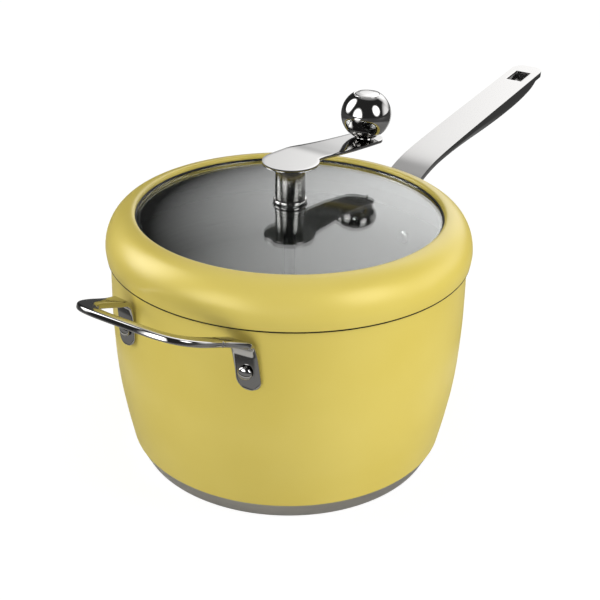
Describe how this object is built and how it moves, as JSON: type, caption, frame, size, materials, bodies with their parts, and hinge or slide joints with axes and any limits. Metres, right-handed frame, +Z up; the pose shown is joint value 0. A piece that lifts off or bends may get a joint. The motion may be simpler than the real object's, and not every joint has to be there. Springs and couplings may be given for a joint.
{
  "type": "stovetop popcorn popper",
  "caption": "Lidded stovetop pot with a loop handle and a long handle; a crank with a ball knob turns a wire stirrer through a domed glass lid.",
  "frame": {"origin": "centre of the flat underside of the pot's base", "axes": "+Z up along the pot's axis and the crank's shaft, +X along the long handle, +Y completes a right-handed frame"},
  "size_m": [0.5351, 0.245, 0.2332],
  "materials": {
    "coating": "satin coating outside, bare steel inside the pot",
    "core": "plain, sealed inside the base",
    "base_steel": "brushed round the axis",
    "polished_steel": "polished stainless steel",
    "satin_steel": "satin stainless steel",
    "lid_steel": "plain stainless steel",
    "wire": "drawn stainless wire",
    "seal": "matte black seal",
    "bearing": "plain black bearing plastic",
    "glass": "clear polished"
  },
  "bodies": {
    "pot": {"pot_shell": "coating", "base_core": "core", "base_cap": "base_steel", "helper_handle": "polished_steel", "helper_handle_rivets": "polished_steel", "long_handle_bracket": "polished_steel", "long_handle_rivets": "polished_steel", "long_handle_top": "polished_steel", "long_handle_underside": "satin_steel"},
    "lid": {"lid_rim": "coating", "lid_inner_ring": "lid_steel", "glass_gasket": "seal", "glass_pane": "glass", "shaft_bushing": "polished_steel", "upper_washer": "seal", "lower_washer": "seal", "bushing_nut": "lid_steel", "bearing_sleeve": "bearing", "thrust_washer": "bearing"},
    "crank": {"crank_arm": "polished_steel", "crank_hub": "polished_steel", "hub_set_screw": "lid_steel", "drive_shaft": "lid_steel", "shaft_clip": "lid_steel", "stirrer_hub": "lid_steel", "stirrer_wires": "wire", "stirrer_set_screw": "lid_steel", "knob_spindle": "polished_steel", "knob_washer": "polished_steel"},
    "knob": {"knob_ball": "polished_steel", "knob_bush": "bearing", "knob_cap": "polished_steel"}
  },
  "joints": [
    {"name": "lid_lift", "type": "slide", "parent": "pot", "child": "lid", "axis": [0, 0, 1], "range_m": [0, 0.17]},
    {"name": "crank_turn", "type": "hinge", "parent": "lid", "child": "crank", "pos_m": [0, 0, 0.19], "axis": [0, 0, 1], "continuous": true},
    {"name": "knob_spin", "type": "hinge", "parent": "crank", "child": "knob", "pos_m": [0.08769, -0.00153, 0.2173], "axis": [0, 0, 1], "continuous": true}
  ]
}
